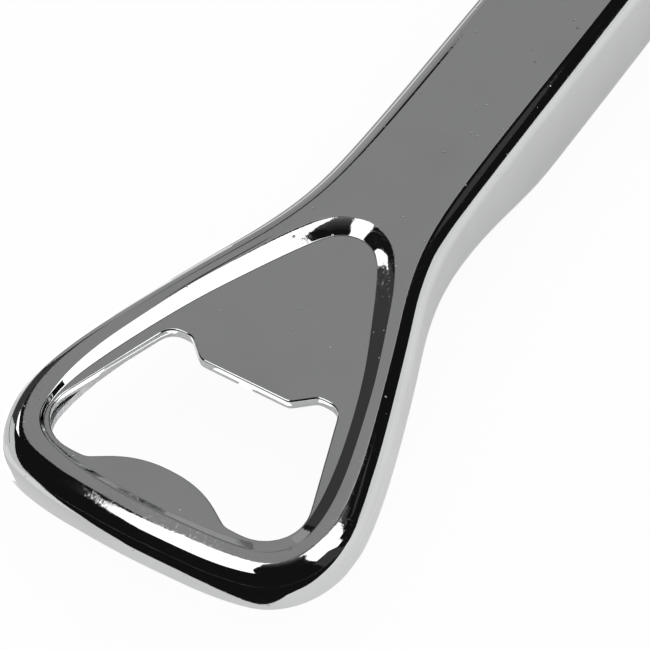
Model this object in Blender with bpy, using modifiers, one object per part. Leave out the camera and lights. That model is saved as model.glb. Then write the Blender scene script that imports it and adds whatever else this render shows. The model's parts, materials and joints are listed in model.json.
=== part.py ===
"""Corkscrew bottle opener.

A pressed and chromed shell carries a hardened opener plate in its head. Its deep handle
houses a worm that folds out of the underside to stand square to the handle.
Metres, +Z up. +X runs from the head to the tail, and Z = 0 is the face it rests on.
"""

import math

import bmesh
import bpy
import numpy as np
from mathutils import Matrix, Vector

# Overall sizes
LENGTH = 0.152
HEIGHT = 0.0139
HEAD_LENGTH = 0.0603
HEAD_WIDTH = 0.0458
HEAD_THICKNESS = 0.0058
HANDLE_WIDTH = 0.0180
TAIL_RADIUS = 0.0070
EDGE_RADIUS = 0.0027

# Sheet, gaps and running clearances
WALL = 0.0014
GAP = 0.0003
RUNNING_GAP = 0.0002
OVERRUN = 0.004

# Recessed panel and its mouth
RECESS_DEPTH = 0.0010
PLATE_THICKNESS = 0.0012
PLATE_BORDER = 0.0013
MOUTH_SETBACK = 0.0068
MOUTH_LENGTH = 0.0214
MOUTH_WIDTH = 0.0336

# Clamp ring under the plate, and the studs that hold it
RING_THICKNESS = 0.0012
RING_LIP = 0.0006
STUD_RADIUS = 0.0006
STUD_HEAD_RADIUS = 0.0011
STUD_HEAD_HEIGHT = 0.0006

# Cover of the underside, its screws and what they go into
COVER_THICKNESS = 0.0014
COVER_LEAD = 0.0043
SCREW_RADIUS = 0.0010
SCREW_HEAD_RADIUS = 0.0020
SCREW_HEAD_HEIGHT = 0.0007
SCREW_LENGTH = 0.0050
POST_RADIUS = 0.0026
NECK_POST_LEAD = 0.0020
TAIL_BLOCK_LENGTH = 0.0115

# Worm and its hub
PIVOT_SETBACK = 0.0183
PIVOT_HEIGHT = 0.0050
HUB_RADIUS = 0.0038
SOCKET_WALL = 0.0011
SOCKET_REACH = 0.0090
SHANK_DEPTH = 0.0045
WORM_WIRE_RADIUS = 0.0013
WORM_STRAIGHT = 0.0050
WANTED_PITCH = 0.0078
TIP_CLEARANCE = 0.0017
SIDE_CLEARANCE = 0.0011
REST_CLEARANCE = 0.0009
SHANK_PIN_RADIUS = 0.0006

# Pivot and frame
PIVOT_RADIUS = 0.0015
PIVOT_HEAD_RADIUS = 0.0026
PIVOT_HEAD_HEIGHT = 0.0007
PIVOT_HEAD_CLEARANCE = 0.0004
WASHER_THICKNESS = 0.0006
WASHER_RADIUS = 0.0031
FRAME_SHEET = 0.0010
FRAME_BEND = 0.0012
FRAME_SETBACK = 0.0051
FRAME_EAR_LEAD = 0.0060
FRAME_EAR_RELIEF = 0.0018
SLOT_CLEARANCE = 0.0008

# Back spring and rest pad
SPRING_SHEET = 0.0005
SPRING_WIDTH = 0.0066
SPRING_HEEL = 0.0050
SPRING_TOE = 0.0020
RIVET_RADIUS = 0.0009
RIVET_HEAD_RADIUS = 0.0018
RIVET_HEAD_HEIGHT = 0.0006
PAD_LENGTH = 0.0070
PAD_WIDTH = 0.0064
STUD_SPACING = 0.0015

# The worm's turns taken to open out and to narrow to its point, and the point's share of the wire
OPENING_TURNS = 0.6
TIP_TURNS = 0.75
TIP_SHARE = 0.08
TIP_FULLNESS = 0.7

# Facets
ROUND_STEPS = 3
SPAN_STEPS = 3
ARC_STEPS = 5
BEND_STEPS = 3
TURNED_STEPS = 16
BORE_STEPS = 24
COIL_STEPS = 10
SHARP_ANGLE = math.radians(35)
WELD = GAP / 100

# Plan of the body as shares: along the head, and across half the head's width
FAR_END_SHARES = [
    (0.0, 0.0), (0.0066, 0.437), (0.0166, 0.611), (0.035, 0.764), (0.071, 0.882),
    (0.126, 0.961), (0.202, 1.0),
]
# From the head's widest place to the handle: along the head, and the width left to lose
FLARE_SHARES = [
    (0.303, 0.95), (0.436, 0.784), (0.569, 0.586), (0.7015, 0.367), (0.834, 0.165),
    (0.90, 0.0935), (0.967, 0.047), (1.05, 0.020), (1.30, 0.0),
]
# Recess at the rim's top and panel at its foot: along the head, and across half its width
RECESS_SHARES = [
    (0.068, 0.0), (0.073, 0.306), (0.0846, 0.576), (0.106, 0.712), (0.146, 0.790),
    (0.199, 0.808), (0.3035, 0.773), (0.436, 0.681), (0.569, 0.572), (0.7015, 0.428),
    (0.8176, 0.295), (0.874, 0.1965), (0.899, 0.092), (0.9055, 0.0),
]
PANEL_SHARES = [
    (0.083, 0.0), (0.088, 0.288), (0.101, 0.550), (0.1227, 0.681), (0.1575, 0.742),
    (0.204, 0.760), (0.3035, 0.729), (0.436, 0.633), (0.569, 0.500), (0.685, 0.369),
    (0.7844, 0.236), (0.8375, 0.1485), (0.859, 0.070), (0.8657, 0.0),
]
# The flank between them: drop from the rim's top, and way from the recess to the panel
FLANK_SHARES = [(-0.03, 0.0), (0.10, 0.14), (0.26, 0.38), (0.44, 0.78), (0.54, 1.0)]
# Mouth's corners: along it, across half its width, and each corner's radius over its width
MOUTH_CORNER_SHARES = [
    (0.888, 0.372, 0.036), (1.0, 0.530, 0.030), (1.0, 0.702, 0.065), (0.0, 1.137, 0.155),
    (0.0, 0.568, 0.055), (0.1612, 0.250, 0.180),
]
# Underside: along the belly's run, and depth gained from the head's thickness to the full height
BELLY_SHARES = [
    (0.240, 0.01), (0.311, 0.09), (0.394, 0.21), (0.512, 0.26), (0.619, 0.31), (0.714, 0.40),
    (0.785, 0.51), (0.856, 0.67), (0.915, 0.83), (0.962, 0.96), (1.0, 1.0),
]
# Studs: share of the body's outline points from the far end's middle to the neck
STUD_SHARES = [0.23, 0.56]
# Leaf spring's path: along it from heel to toe, and drop from its seat to the hub
SPRING_SHARES = [(0.0, 0.0), (0.27, 0.0), (0.45, 0.16), (0.72, 0.80), (0.88, 1.0), (1.0, 0.90)]

FAR_END = -LENGTH / 2
TAIL_END = LENGTH / 2
HALF_HANDLE = HANDLE_WIDTH / 2
HALF_HEAD = HEAD_WIDTH / 2
PANEL_TOP = HEIGHT - RECESS_DEPTH
PANEL_FOOT = PANEL_TOP - PLATE_THICKNESS
ROOF = HEIGHT - WALL
RING_TOP = PANEL_FOOT - GAP
RING_FOOT = RING_TOP - RING_THICKNESS
FRAME_TOP = ROOF - GAP
FRAME_CEILING = FRAME_TOP - FRAME_SHEET
FRAME_FOOT = COVER_THICKNESS + GAP

# Across the handle, from the wall inwards: the pivot's head, the frame, a washer and the hub
FRAME_HALF_OUTSIDE = HALF_HANDLE - WALL - PIVOT_HEAD_CLEARANCE - PIVOT_HEAD_HEIGHT - GAP
FRAME_HALF_INSIDE = FRAME_HALF_OUTSIDE - FRAME_SHEET
HUB_WIDTH = 2 * (FRAME_HALF_INSIDE - WASHER_THICKNESS - 2 * GAP)
SOCKET_RADIUS = WORM_WIRE_RADIUS + GAP + SOCKET_WALL

# Along the handle, from the neck and from the tail: the frame fills what lies between
NECK_POST_X = FAR_END + HEAD_LENGTH + NECK_POST_LEAD
RING_END = NECK_POST_X - POST_RADIUS - 2 * GAP
COVER_START = FAR_END + MOUTH_SETBACK + MOUTH_LENGTH + COVER_LEAD
TAIL_BLOCK_END = TAIL_END - WALL - GAP
TAIL_BLOCK_START = TAIL_BLOCK_END - TAIL_BLOCK_LENGTH
TAIL_SCREW_X = (TAIL_BLOCK_START + TAIL_BLOCK_END) / 2
FRAME_START = NECK_POST_X + POST_RADIUS + FRAME_SETBACK
FRAME_END = TAIL_BLOCK_START - GAP
PIVOT_X = FRAME_START + PIVOT_SETBACK
PIVOT = Vector((PIVOT_X, 0, PIVOT_HEIGHT))
BELLY_END = PIVOT_X - HUB_RADIUS

# The worm fits between the frame's sides and over the resting face, and takes as many whole
# turns as there is room for between its shank and the frame's end
WORM_RADIUS = min(FRAME_HALF_INSIDE - SIDE_CLEARANCE, PIVOT_HEIGHT - REST_CLEARANCE)
WORM_COIL_RADIUS = WORM_RADIUS - WORM_WIRE_RADIUS
WORM_START = PIVOT_X + SHANK_DEPTH
COIL_START = WORM_START + WORM_STRAIGHT
WORM_TIP = FRAME_END - TIP_CLEARANCE
WORM_TURNS = round((WORM_TIP - COIL_START) / WANTED_PITCH)
WORM_PITCH = (WORM_TIP - COIL_START) / WORM_TURNS
SLOT_HALF_WIDTH = max(WORM_RADIUS, HUB_WIDTH / 2) + SLOT_CLEARANCE
SLOT_START = PIVOT_X - WORM_RADIUS - SLOT_CLEARANCE
SLOT_END = WORM_TIP + 2 * SLOT_CLEARANCE

# Under the roof: a stud in front, then one, the pad and another at the back
FRONT_STUD_X = FRAME_START + 2 * RIVET_HEAD_RADIUS
REAR_STUD_X = FRAME_END - 2 * RIVET_HEAD_RADIUS
PAD_X = REAR_STUD_X - RIVET_HEAD_RADIUS - STUD_SPACING - PAD_LENGTH / 2
MIDDLE_STUD_X = PAD_X - PAD_LENGTH / 2 - STUD_SPACING - RIVET_HEAD_RADIUS

COLLECTION = "corkscrew_bottle_opener"


def clear_scene():
    for item in list(bpy.data.objects):
        bpy.data.objects.remove(item, do_unlink=True)
    for name in (COLLECTION, "cutters"):
        bpy.context.scene.collection.children.link(bpy.data.collections.new(name))


def place_in(item, collection_name):
    for collection in item.users_collection:
        collection.objects.unlink(item)
    bpy.data.collections[collection_name].objects.link(item)
    return item


# Outlines

def smooth(points, steps=SPAN_STEPS):
    """A Catmull-Rom curve through the points, open at both ends."""
    ends = [2 * points[0] - points[1]] + list(points) + [2 * points[-1] - points[-2]]
    curve = []
    for a, b, c, d in zip(ends, ends[1:], ends[2:], ends[3:]):
        for step in range(steps):
            t = step / steps
            curve.append(((2 * b) + (c - a) * t + (2 * a - 5 * b + 4 * c - d) * t ** 2
                          + (3 * b - a - 3 * c + d) * t ** 3) / 2)
    return curve + [points[-1]]


def arc(centre, radius, first, last, steps=ARC_STEPS):
    angles = np.linspace(first, last, steps + 1)
    return [centre + radius * np.array((math.cos(a), math.sin(a))) for a in angles]


def mirrored(half):
    """Close a half outline that starts and ends on the axis with its mirror image."""
    return list(half) + [point * (1, -1) for point in half[-2:0:-1]]


def grown(loop, distance):
    """The outline moved outwards along its normals. It runs clockwise, seen from above."""
    moved = []
    for before, here, after in zip([loop[-1]] + loop[:-1], loop, loop[1:] + [loop[0]]):
        first = (here - before) / np.linalg.norm(here - before)
        second = (after - here) / np.linalg.norm(after - here)
        tangent = first + second
        normal = np.array((-tangent[1], tangent[0])) / np.linalg.norm(tangent)
        spread = max(normal @ np.array((-first[1], first[0])), 0.5)
        moved.append(here + normal * distance / spread)
    return moved


def head_points(shares):
    return [np.array((FAR_END + along * HEAD_LENGTH, across * HALF_HEAD)) for along, across in shares]


def body_half():
    """Far end, flare, straight handle and rounded tail, on the side of +Y."""
    excess = HALF_HEAD - HALF_HANDLE
    flare = [np.array((FAR_END + along * HEAD_LENGTH, HALF_HANDLE + share * excess))
             for along, share in FLARE_SHARES]
    tail_centre = np.array((TAIL_END - TAIL_RADIUS, HALF_HANDLE - TAIL_RADIUS))
    tail = arc(tail_centre, TAIL_RADIUS, math.pi / 2, 0)
    return smooth(head_points(FAR_END_SHARES) + flare) + tail + [np.array((TAIL_END, 0.0))]


def symmetric_end(shares):
    """A head outline whose curve crosses the axis squarely at both ends."""
    points = head_points(shares)
    around = [points[1] * (1, -1)] + points + [points[-2] * (1, -1)]
    return smooth(around)[SPAN_STEPS:-SPAN_STEPS]


def rounded(corners):
    """A polygon, open at its two ends, with a fillet of its own at each inner corner."""
    path = [corners[0][0]]
    for (before, _), (here, radius), (after, _) in zip(corners, corners[1:], corners[2:]):
        back = (before - here) / np.linalg.norm(before - here)
        ahead = (after - here) / np.linalg.norm(after - here)
        half_angle = math.acos(np.clip(back @ ahead, -1, 1)) / 2
        bisector = (back + ahead) / np.linalg.norm(back + ahead)
        centre = here + bisector * radius / math.sin(half_angle)
        start = here + back * radius / math.tan(half_angle) - centre
        end = here + ahead * radius / math.tan(half_angle) - centre
        first = math.atan2(start[1], start[0])
        turn = (math.atan2(end[1], end[0]) - first + math.pi) % (2 * math.pi) - math.pi
        path += arc(centre, radius, first, first + turn)
    return path + [corners[-1][0]]


def mouth_half():
    far_edge = FAR_END + MOUTH_SETBACK
    corners = [(np.array((far_edge + along * MOUTH_LENGTH, across * MOUTH_WIDTH / 2)),
                radius * MOUTH_WIDTH) for along, across, radius in MOUTH_CORNER_SHARES]
    lip, tongue = corners[0][0] * (1, 0), corners[-1][0] * (1, 0)
    return rounded([(lip, 0)] + corners + [(tongue, 0)])[::-1]


BODY_LOOP = mirrored(body_half())
RECESS_LOOP = mirrored(symmetric_end(RECESS_SHARES))
PANEL_LOOP = mirrored(symmetric_end(PANEL_SHARES))
MOUTH_LOOP = mirrored(mouth_half())


def belly_line(lift=0.0):
    """Underside from the far end to the tail in X and Z, raised square to Z by lift."""
    gain = HEIGHT - HEAD_THICKNESS
    run = BELLY_END - FAR_END
    curve = smooth([np.array((FAR_END + along * run, gain * (1 - depth)))
                    for along, depth in BELLY_SHARES])
    line = [np.array((FAR_END - OVERRUN, gain))] + curve + [np.array((TAIL_END + OVERRUN, 0.0))]
    return [point + (0, lift) for point in line]


def belly_height(x):
    line = np.array(belly_line())
    return float(np.interp(x, line[:, 0], line[:, 1]))


# Solids

def to_mesh(item):
    """Replace a curve or a modified object by its evaluated mesh, with its seams welded."""
    depsgraph = bpy.context.evaluated_depsgraph_get()
    mesh = bpy.data.meshes.new_from_object(item.evaluated_get(depsgraph))
    name, matrix = item.name, item.matrix_world.copy()
    bpy.data.objects.remove(item, do_unlink=True)
    solid = bmesh.new()
    solid.from_mesh(mesh)
    bmesh.ops.transform(solid, matrix=matrix, verts=solid.verts)
    bmesh.ops.remove_doubles(solid, verts=solid.verts, dist=WELD)
    bmesh.ops.recalc_face_normals(solid, faces=solid.faces)
    solid.to_mesh(mesh)
    solid.free()
    return place_in_part(bpy.data.objects.new(name, mesh))


def place_in_part(item):
    bpy.data.collections[COLLECTION].objects.link(item)
    return item


def flat_form(name, loops, bottom, top, rounding=0.0, upright=False):
    """A filled outline extruded from bottom to top, or across the handle when upright."""
    curve = bpy.data.curves.new(name, "CURVE")
    curve.dimensions = "2D"
    curve.fill_mode = "BOTH"
    curve.extrude = (top - bottom) / 2 - rounding
    curve.bevel_depth = rounding
    curve.bevel_resolution = ROUND_STEPS
    for loop in loops:
        spline = curve.splines.new("POLY")
        spline.points.add(len(loop) - 1)
        for point, (x, y) in zip(spline.points, loop):
            point.co = (x, y, 0, 1)
        spline.use_cyclic_u = True
    item = place_in_part(bpy.data.objects.new(name, curve))
    middle = (top + bottom) / 2
    item.location = (0, middle, 0) if upright else (0, 0, middle)
    item.rotation_euler = (math.pi / 2, 0, 0) if upright else (0, 0, 0)
    bpy.context.view_layer.update()
    return to_mesh(item)


def block(name, low, high):
    bpy.ops.mesh.primitive_cube_add(size=1)
    item = place_in(bpy.context.object, COLLECTION)
    item.name = name
    low, high = Vector(low), Vector(high)
    item.data.transform(Matrix.LocRotScale((low + high) / 2, None, high - low))
    return item


def rod(name, start, end, radius, steps=TURNED_STEPS):
    start, end = Vector(start), Vector(end)
    bpy.ops.mesh.primitive_cylinder_add(vertices=steps, radius=radius, depth=(end - start).length)
    item = place_in(bpy.context.object, COLLECTION)
    item.name = name
    turn = (end - start).to_track_quat("Z", "Y")
    item.data.transform(Matrix.LocRotScale((start + end) / 2, turn, None))
    return item


def turned(name, profile, place, steps=TURNED_STEPS, across=False, closed=False):
    """A profile of radius and height, from top to bottom, turned about Z or across the handle."""
    mesh = bpy.data.meshes.new(name)
    count = len(profile)
    edges = [(i, i + 1) for i in range(count - 1)] + ([(count - 1, 0)] if closed else [])
    mesh.from_pydata([(radius, 0, height) for radius, height in profile], edges, [])
    item = place_in_part(bpy.data.objects.new(name, mesh))
    screw = item.modifiers.new("turn", "SCREW")
    screw.steps = screw.render_steps = steps
    screw.use_merge_vertices = True
    screw.merge_threshold = WELD
    item.location = place
    item.rotation_euler = (math.pi / 2, 0, 0) if across else (0, 0, 0)
    bpy.context.view_layer.update()
    return to_mesh(item)


def sheet(name, path, low, high, thickness, upright):
    """A folded sheet: its middle line in X and Z or in Y and Z, swept from low to high."""
    mesh = bpy.data.meshes.new(name)
    solid = bmesh.new()
    ends = ([solid.verts.new((p[0], end, p[1]) if upright else (end, p[0], p[1])) for p in path]
            for end in (low, high))
    first, second = ends
    for a, b, c, d in zip(first, first[1:], second[1:], second):
        solid.faces.new((a, b, c, d))
    solid.to_mesh(mesh)
    solid.free()
    item = place_in_part(bpy.data.objects.new(name, mesh))
    skin = item.modifiers.new("sheet", "SOLIDIFY")
    skin.thickness = thickness
    skin.offset = 0
    skin.use_even_offset = True
    return to_mesh(item)


def combine(item, tool, operation="DIFFERENCE"):
    place_in(tool, "cutters")
    tool.hide_render = True
    tool.display_type = "WIRE"
    modifier = item.modifiers.new(tool.name, "BOOLEAN")
    modifier.operation = operation
    modifier.object = tool
    modifier.solver = "EXACT"
    return item


def join(name, items):
    """Several cutters as one, where they don't touch each other."""
    solid = bmesh.new()
    for item in items:
        solid.from_mesh(item.data)
        bpy.data.objects.remove(item, do_unlink=True)
    mesh = bpy.data.meshes.new(name)
    solid.to_mesh(mesh)
    solid.free()
    return place_in_part(bpy.data.objects.new(name, mesh))


def finish(item, colour, roughness, metallic=1.0):
    material = bpy.data.materials.new(item.name)
    material.use_nodes = True
    shader = material.node_tree.nodes["Principled BSDF"]
    shader.inputs["Base Color"].default_value = (*colour, 1)
    shader.inputs["Roughness"].default_value = roughness
    shader.inputs["Metallic"].default_value = metallic
    item.data.materials.clear()
    item.data.materials.append(material)
    item.data.shade_smooth()
    item.data.set_sharp_from_angle(angle=SHARP_ANGLE)
    return item


CHROME = (0.80, 0.81, 0.83)
STEEL = (0.62, 0.62, 0.63)
DARK_STEEL = (0.40, 0.40, 0.42)
ZINC = (0.55, 0.56, 0.58)
NYLON = (0.05, 0.05, 0.055)


# Body and head

def loft(name, rings, heights):
    """A closed solid through rings of equally many points, the first one lowest."""
    mesh = bpy.data.meshes.new(name)
    solid = bmesh.new()
    rows = [[solid.verts.new((x, y, z)) for x, y in ring] for ring, z in zip(rings, heights)]
    for low, high in zip(rows, rows[1:]):
        for i in range(len(low)):
            solid.faces.new((low[i - 1], low[i], high[i], high[i - 1]))
    solid.faces.new(rows[0])
    solid.faces.new(rows[-1])
    bmesh.ops.recalc_face_normals(solid, faces=solid.faces)
    solid.to_mesh(mesh)
    solid.free()
    return place_in_part(bpy.data.objects.new(name, mesh))


def recess_cutter():
    """The room over the panel, with the rim's curved flank round it."""
    rings = [RECESS_LOOP]
    heights = [HEIGHT + OVERRUN]
    for drop, way in FLANK_SHARES:
        rings.append([r + (p - r) * way for r, p in zip(RECESS_LOOP, PANEL_LOOP)])
        heights.append(HEIGHT - drop * RECESS_DEPTH)
    rings.append(PANEL_LOOP)
    heights.append(PANEL_FOOT)
    return loft("recess_cutter", rings[::-1], heights[::-1])


def below_belly(name, lift):
    line = belly_line(lift)
    floor = -EDGE_RADIUS - 2 * OVERRUN
    outline = line + [np.array((TAIL_END + OVERRUN, floor)), np.array((FAR_END - OVERRUN, floor))]
    return flat_form(name, [outline], -HEAD_WIDTH, HEAD_WIDTH, upright=True)


def body_shell():
    inner_loop = grown(BODY_LOOP, -EDGE_RADIUS)
    shell = flat_form("body_shell", [inner_loop], -EDGE_RADIUS - OVERRUN, HEIGHT, EDGE_RADIUS)
    combine(shell, recess_cutter())
    seat = grown(PANEL_LOOP, PLATE_BORDER + GAP)
    combine(shell, flat_form("plate_seat_cutter", [seat], PANEL_FOOT - OVERRUN, PANEL_TOP + GAP))
    combine(shell, below_belly("belly_cutter", 0.0))
    combine(shell, flat_form("cavity_cutter", [grown(BODY_LOOP, -WALL)], -OVERRUN, ROOF))
    return finish(shell, CHROME, 0.08)


def opener_plate():
    loops = [grown(PANEL_LOOP, PLATE_BORDER), MOUTH_LOOP]
    return finish(flat_form("opener_plate", loops, PANEL_FOOT, PANEL_TOP), CHROME, 0.10)


def stud_places():
    """Between the wall and the plate's edge. The head takes the wall's side, as it is wider."""
    half = body_half()
    neck = sum(1 for x, _ in half if x < FAR_END + HEAD_LENGTH)
    edge = grown(PANEL_LOOP, PLATE_BORDER)
    places = []
    for share in STUD_SHARES:
        here = half[round(share * neck)]
        across = min((point - here for point in edge), key=np.linalg.norm)
        width = np.linalg.norm(across)
        room = (width - WALL) * STUD_HEAD_RADIUS / (STUD_HEAD_RADIUS + STUD_RADIUS)
        places.append(here + across * (WALL + room) / width)
    nose = max(x for x, _ in edge)
    middle = np.array(((nose + RING_END) / 2, 0.0))
    return places + [place * (1, -1) for place in places] + [middle]


def clamp_ring():
    outer = grown(BODY_LOOP, -WALL - GAP)
    ring = flat_form("clamp_ring", [outer, grown(PANEL_LOOP, -RING_LIP)], RING_FOOT, RING_TOP)
    combine(ring, block("ring_end_cutter", (RING_END, -HEAD_WIDTH, RING_FOOT - OVERRUN),
                        (TAIL_END + OVERRUN, HEAD_WIDTH, RING_TOP + OVERRUN)))
    holes = [rod("stud_hole", (x, y, RING_FOOT - OVERRUN), (x, y, RING_TOP + OVERRUN),
                 STUD_RADIUS + RUNNING_GAP, TURNED_STEPS // 2) for x, y in stud_places()]
    combine(ring, join("stud_hole_cutter", holes))
    return finish(ring, STEEL, 0.25)


def headed_pin(name, radius, head_radius, head_height, shank, place, **turning):
    """A pin that stands on its head: the head's face is at the place, the shank above it."""
    profile = [(0, head_height + shank), (radius, head_height + shank), (radius, head_height),
               (head_radius, head_height), (head_radius, head_height / 2),
               (head_radius - head_height / 2, 0), (0, 0)]
    return turned(name, profile, place, **turning)


def ring_studs():
    """Studs that stand on the shell's roof and are peened over under the ring."""
    foot = RING_FOOT - GAP - STUD_HEAD_HEIGHT
    shank = ROOF - RING_FOOT
    for number, (x, y) in enumerate(stud_places(), 1):
        stud = headed_pin(f"ring_stud_{number}", STUD_RADIUS, STUD_HEAD_RADIUS, STUD_HEAD_HEIGHT,
                          shank, (x, y, foot), steps=TURNED_STEPS // 2)
        finish(stud, STEEL, 0.3)


# Underside of the handle

def screw_places():
    return [(NECK_POST_X, belly_height(NECK_POST_X)), (TAIL_SCREW_X, belly_height(TAIL_SCREW_X))]


def base_cover():
    """Formed sheet that follows the belly, turned up in front, with the worm's slot."""
    line = [point for point in belly_line() if point[0] > COVER_START]
    front_foot = np.array((COVER_START, belly_height(COVER_START)))
    outer = [np.array((COVER_START, RING_FOOT - GAP)), front_foot] + line
    inner = [point + (0, COVER_THICKNESS) for point in line[::-1]]
    inner.append(front_foot + (COVER_THICKNESS, COVER_THICKNESS))
    inner.append(np.array((COVER_START + COVER_THICKNESS, RING_FOOT - GAP)))
    inner = [point for point in inner if point[0] >= COVER_START + COVER_THICKNESS]
    cover = flat_form("base_cover", [outer + inner], -HEAD_WIDTH, HEAD_WIDTH, upright=True)
    plan = flat_form("cover_plan_tool", [grown(BODY_LOOP, -WALL - GAP)], -OVERRUN, HEIGHT)
    combine(cover, plan, "INTERSECT")
    radius, quarter, steps = SLOT_HALF_WIDTH, math.pi / 2, 2 * ARC_STEPS
    front = arc(np.array((SLOT_START + radius, 0.0)), radius, 3 * quarter, quarter, steps)
    rear = arc(np.array((SLOT_END - radius, 0.0)), radius, quarter, -quarter, steps)
    combine(cover, flat_form("slot_cutter", [front + rear], -OVERRUN, FRAME_FOOT + OVERRUN))
    holes = []
    for x, z in screw_places():
        sink = SCREW_HEAD_HEIGHT + GAP
        holes.append(rod("hole", (x, 0, z - OVERRUN), (x, 0, z + OVERRUN), SCREW_RADIUS + GAP))
        holes.append(rod("sink", (x, 0, z - OVERRUN), (x, 0, z + sink), SCREW_HEAD_RADIUS + GAP))
    for index, hole in enumerate(holes):
        hole.name = f"cover_hole_cutter_{index}"
        combine(cover, hole)
    return finish(cover, CHROME, 0.15)


def cover_screws():
    for name, (x, z) in zip(("front", "rear"), screw_places()):
        screw = headed_pin(f"cover_screw_{name}", SCREW_RADIUS, SCREW_HEAD_RADIUS,
                           SCREW_HEAD_HEIGHT, SCREW_LENGTH, (x, 0, z))
        low = (x - SCREW_HEAD_RADIUS * 2, -SCREW_RADIUS / 4, z - OVERRUN)
        high = (x + SCREW_HEAD_RADIUS * 2, SCREW_RADIUS / 4, z + SCREW_HEAD_HEIGHT / 2)
        combine(screw, block(f"driver_slot_cutter_{name}", low, high))
        finish(screw, STEEL, 0.3)


def screw_hole(name, x, z):
    top = z + SCREW_HEAD_HEIGHT + SCREW_LENGTH + GAP
    return rod(name, (x, 0, z), (x, 0, top), SCREW_RADIUS + RUNNING_GAP)


def neck_post():
    x, z = screw_places()[0]
    foot = z + COVER_THICKNESS + 2 * GAP
    post = rod("neck_post", (x, 0, foot), (x, 0, FRAME_TOP), POST_RADIUS, 6)
    return finish(combine(post, screw_hole("post_hole_cutter", x, z)), STEEL, 0.35)


def tail_block():
    """Cast block that fills the tail and takes the cover's rear screw."""
    weight = flat_form("tail_block", [grown(BODY_LOOP, -WALL - GAP)], FRAME_FOOT, FRAME_TOP)
    room = block("tail_room_tool", (FAR_END - OVERRUN, -HEAD_WIDTH, -OVERRUN),
                 (TAIL_BLOCK_START, HEAD_WIDTH, HEIGHT + OVERRUN))
    combine(weight, room)
    combine(weight, screw_hole("block_hole_cutter", *screw_places()[1]))
    return finish(weight, ZINC, 0.5)


# Frame, spring and pivot

def fold_path():
    """The frame's middle line, from one ear over the roof to the other."""
    half = FRAME_HALF_INSIDE + FRAME_SHEET / 2
    top = FRAME_TOP - FRAME_SHEET / 2
    bend = FRAME_BEND
    left = arc(np.array((-half + bend, top - bend)), bend, math.pi, math.pi / 2, BEND_STEPS)
    right = arc(np.array((half - bend, top - bend)), bend, math.pi / 2, 0, BEND_STEPS)
    return [np.array((-half, FRAME_FOOT))] + left + right + [np.array((half, FRAME_FOOT))]


def frame_stud_places():
    return [FRONT_STUD_X, MIDDLE_STUD_X, REAR_STUD_X]


def spring_rivet_x():
    return SLOT_START - SPRING_HEEL


def worm_frame():
    frame = sheet("worm_frame", fold_path(), FRAME_START, FRAME_END, FRAME_SHEET, False)
    ear_start = SLOT_START - FRAME_EAR_LEAD
    relief = block("ear_relief_cutter", (FRAME_START - OVERRUN, -HEAD_WIDTH, -OVERRUN),
                   (ear_start, HEAD_WIDTH, FRAME_CEILING - FRAME_EAR_RELIEF))
    combine(frame, relief)
    combine(frame, below_belly("frame_belly_cutter", COVER_THICKNESS + GAP))
    combine(frame, rod("pivot_hole_cutter", PIVOT - Vector((0, HANDLE_WIDTH, 0)),
                       PIVOT + Vector((0, HANDLE_WIDTH, 0)), PIVOT_RADIUS + RUNNING_GAP, BORE_STEPS))
    places = frame_stud_places() + [spring_rivet_x(), PAD_X]
    holes = [rod("hole", (x, 0, FRAME_CEILING - OVERRUN / 2), (x, 0, FRAME_TOP + OVERRUN),
                 RIVET_RADIUS + RUNNING_GAP) for x in places]
    combine(frame, join("frame_hole_cutter", holes))
    return finish(frame, DARK_STEEL, 0.35)


def frame_studs():
    foot = FRAME_CEILING - GAP - RIVET_HEAD_HEIGHT
    shank = FRAME_SHEET + GAP
    for number, x in enumerate(frame_stud_places(), 1):
        stud = headed_pin(f"frame_stud_{number}", RIVET_RADIUS, RIVET_HEAD_RADIUS,
                          RIVET_HEAD_HEIGHT, shank, (x, 0, foot))
        finish(stud, STEEL, 0.35)


def spring_seat():
    return FRAME_CEILING - GAP - SPRING_SHEET / 2


def back_spring():
    """Leaf riveted under the frame's roof, its toe on top of the hub."""
    start = spring_rivet_x() - SPRING_HEEL / 2
    end = PIVOT_X + SPRING_TOE
    drop = spring_seat() - (PIVOT_HEIGHT + HUB_RADIUS + GAP + SPRING_SHEET / 2)
    path = smooth([np.array((start + along * (end - start), spring_seat() - share * drop))
                   for along, share in SPRING_SHARES], 3)
    half = SPRING_WIDTH / 2
    spring = sheet("back_spring", path, -half, half, SPRING_SHEET, True)
    x = spring_rivet_x()
    hole = rod("spring_hole_cutter", (x, 0, spring_seat() - OVERRUN / 2),
               (x, 0, FRAME_TOP + OVERRUN), RIVET_RADIUS + RUNNING_GAP)
    return finish(combine(spring, hole), STEEL, 0.25)


def spring_rivet():
    foot = spring_seat() - SPRING_SHEET / 2 - GAP - RIVET_HEAD_HEIGHT
    shank = FRAME_TOP - foot - RIVET_HEAD_HEIGHT
    rivet = headed_pin("spring_rivet", RIVET_RADIUS, RIVET_HEAD_RADIUS, RIVET_HEAD_HEIGHT, shank,
                       (spring_rivet_x(), 0, foot))
    return finish(rivet, STEEL, 0.3)


def pivot_rivet():
    """Pin across both ears with a peened head outside each."""
    face = FRAME_HALF_OUTSIDE + GAP
    end = face + PIVOT_HEAD_HEIGHT
    chamfer = PIVOT_HEAD_HEIGHT / 2
    half = [(0, end), (PIVOT_HEAD_RADIUS - chamfer, end), (PIVOT_HEAD_RADIUS, end - chamfer),
            (PIVOT_HEAD_RADIUS, face), (PIVOT_RADIUS, face)]
    profile = half + [(radius, -height) for radius, height in half[::-1]]
    return finish(turned("pivot_rivet", profile, PIVOT, BORE_STEPS, across=True), STEEL, 0.25)


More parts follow.
